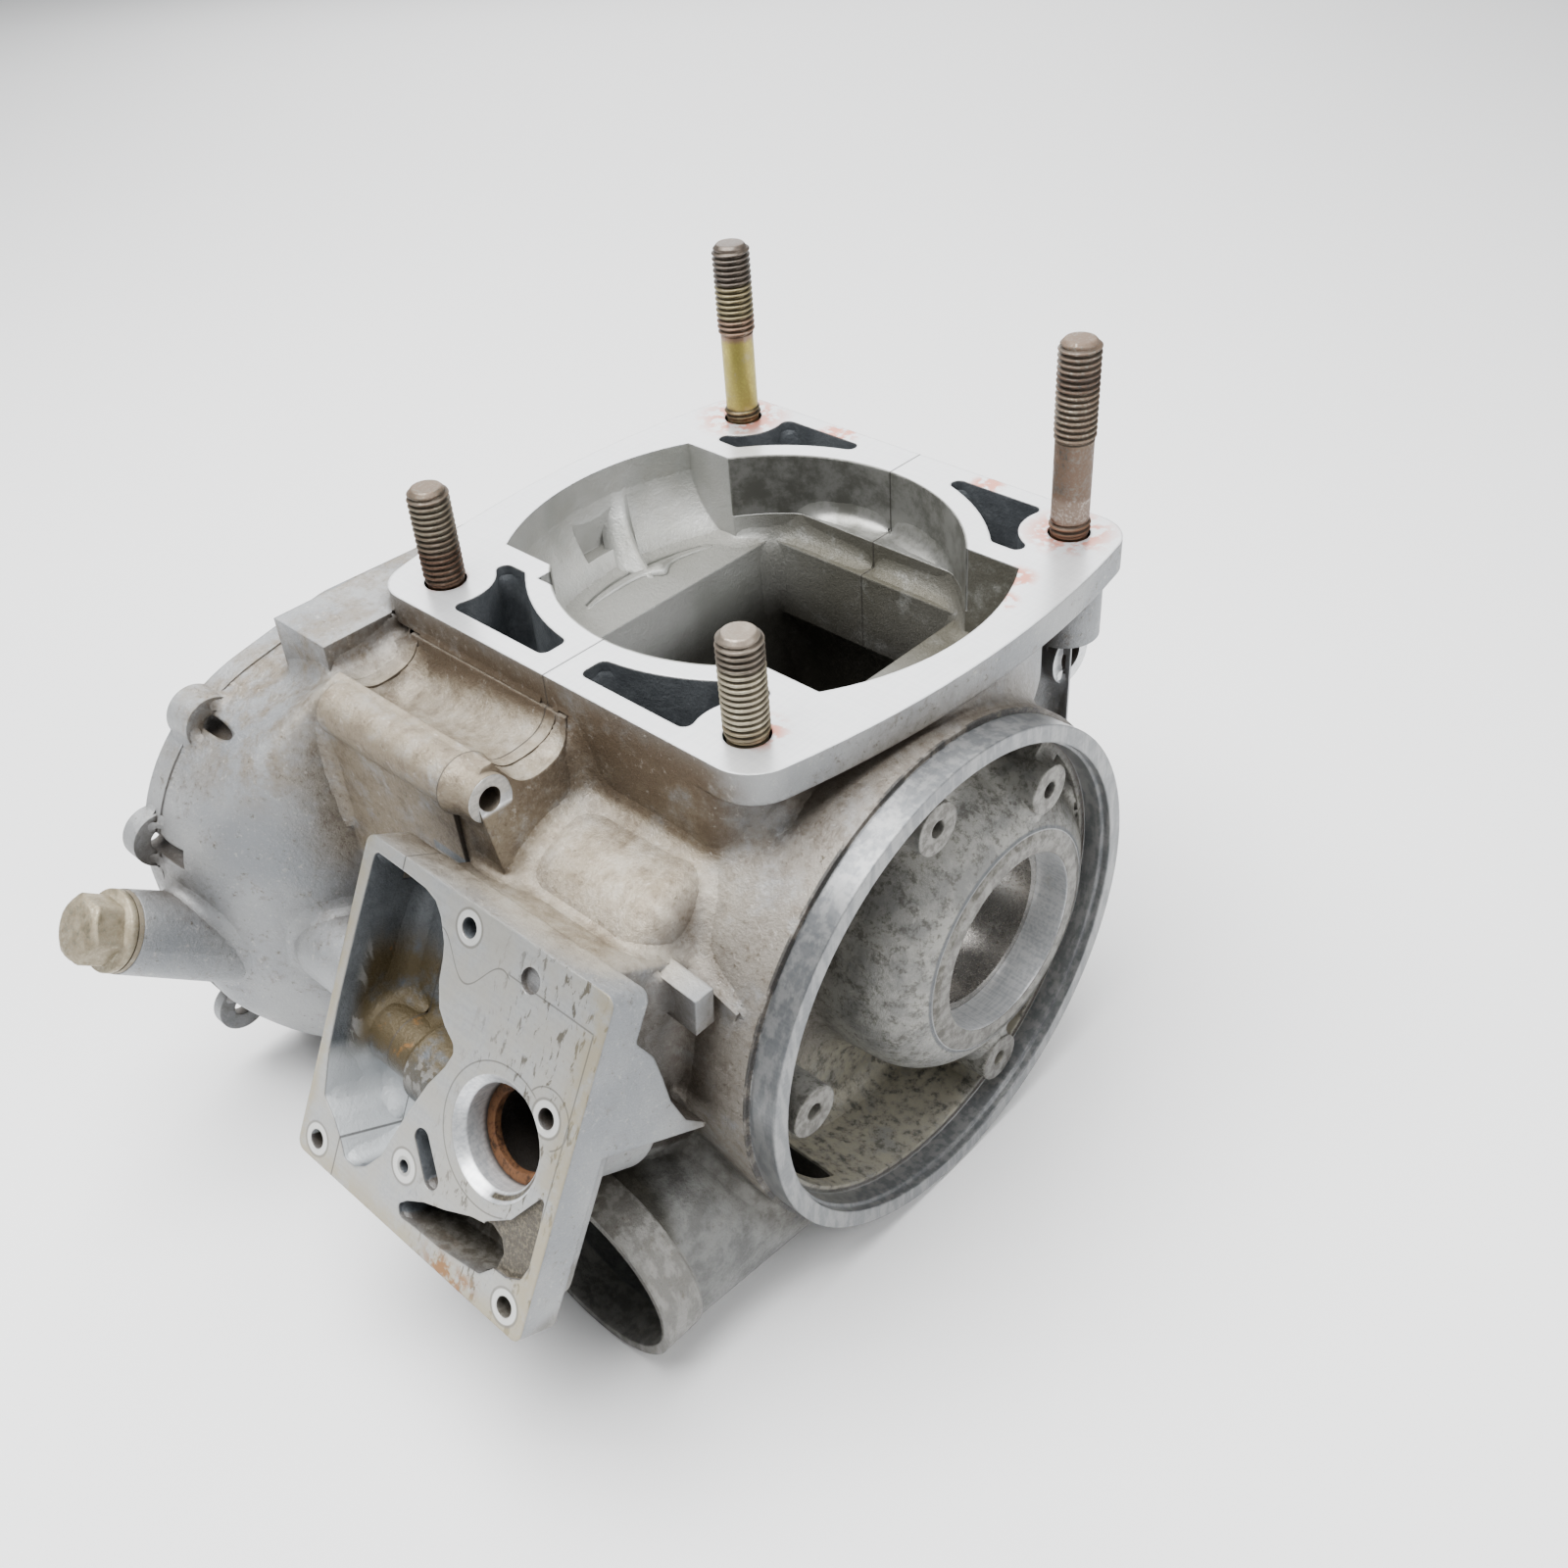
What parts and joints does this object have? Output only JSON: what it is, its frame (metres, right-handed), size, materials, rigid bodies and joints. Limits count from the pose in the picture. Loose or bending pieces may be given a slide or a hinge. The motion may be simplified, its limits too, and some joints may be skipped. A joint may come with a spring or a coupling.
{
  "type": "engine crankcase",
  "caption": "Bare two-part engine crankcase with cylinder studs, magneto housing, pump flange, air duct and plugged filler spout.",
  "frame": {"origin": "where the crankshaft axis crosses the cylinder axis, in the joint between the two castings", "axes": "+X along the crankshaft towards the magneto housing, +Z along the cylinder towards its deck, -Y towards the pump flange"},
  "size_m": [0.2075, 0.263, 0.2239],
  "materials": {
    "left_case_casting": "rough cast, stained, with machined faces",
    "right_case_casting": "rough cast, stained, with machined faces",
    "bearing_sleeve_steel": "ground",
    "rusty_steel": "rusty",
    "plug_steel": "dull yellow zinc",
    "washer_aluminium": "dull",
    "stud_dark_steel": "dark, rust at the foot",
    "stud_zinc_steel": "worn zinc, threaded",
    "stud_gold_steel": "yellow zinc, threaded top",
    "stud_grey_steel": "rusty grey, threaded top"
  },
  "bodies": {
    "root": {"left_case_half": "left_case_casting", "right_case_half": "right_case_casting", "crank_sleeve_left": "bearing_sleeve_steel", "crank_sleeve_right": "bearing_sleeve_steel", "pump_bore_seal": "rusty_steel", "filler_plug": "plug_steel", "filler_plug_washer": "washer_aluminium", "stud_front_left": "stud_dark_steel", "stud_front_right": "stud_zinc_steel", "stud_rear_left": "stud_gold_steel", "stud_rear_right": "stud_grey_steel"}
  },
  "joints": []
}
